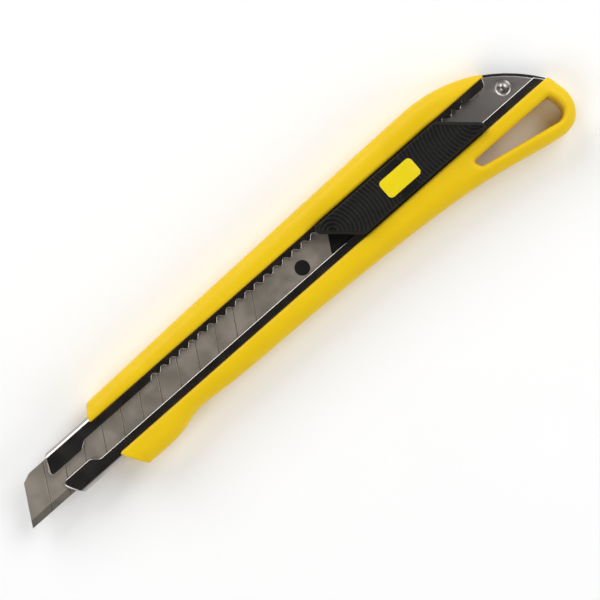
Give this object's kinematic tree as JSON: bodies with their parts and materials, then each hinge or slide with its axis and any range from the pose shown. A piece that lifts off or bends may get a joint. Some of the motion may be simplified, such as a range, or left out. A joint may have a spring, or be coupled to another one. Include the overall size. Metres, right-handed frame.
{
  "type": "utility knife",
  "caption": "Snap-off utility knife: plastic handle with hang loop, steel channel with detent rack, sliding blade carriage and ribbed thumb pad.",
  "frame": {"origin": "on the handle's flat back, under the channel's centreline, half way along the handle", "axes": "+X from the blade's tip to the hang loop, +Y from the cutting edge to the spine, +Z from the back out of the front face that carries the thumb pad"},
  "size_m": [0.1404, 0.025, 0.0108],
  "materials": {
    "handle_plastic": "satin moulded",
    "cap_plastic": "matte moulded",
    "channel_steel": "brushed stainless",
    "rivet_steel": "bright",
    "blade_steel": "ground, oiled",
    "carriage_plastic": "matte moulded",
    "spring_steel": "spring steel",
    "pad_plastic": "matte moulded",
    "label_film": "printed film"
  },
  "bodies": {
    "handle": {"handle": "handle_plastic", "blade_channel": "channel_steel", "channel_rivet": "rivet_steel"},
    "carriage": {"blade_carriage": "carriage_plastic", "snap_blade": "blade_steel", "lock_spring": "spring_steel"},
    "pad": {"thumb_pad": "pad_plastic", "pad_label": "label_film"},
    "cap": {"snapper_cap": "cap_plastic"}
  },
  "joints": [
    {"name": "carriage_slide", "type": "slide", "parent": "handle", "child": "carriage", "axis": [-1, 0, 0], "range_m": [-0.01016, 0.06096], "deforming": ["lock_spring"]},
    {"name": "pad_shift", "type": "slide", "parent": "carriage", "child": "pad", "axis": [-1, 0, 0], "range_m": [-0.0007, 0.0007], "stiffness_N_per_m": 1500},
    {"name": "cap_pull", "type": "slide", "parent": "handle", "child": "cap", "axis": [1, 0, 0], "range_m": [0, 0.015]}
  ]
}
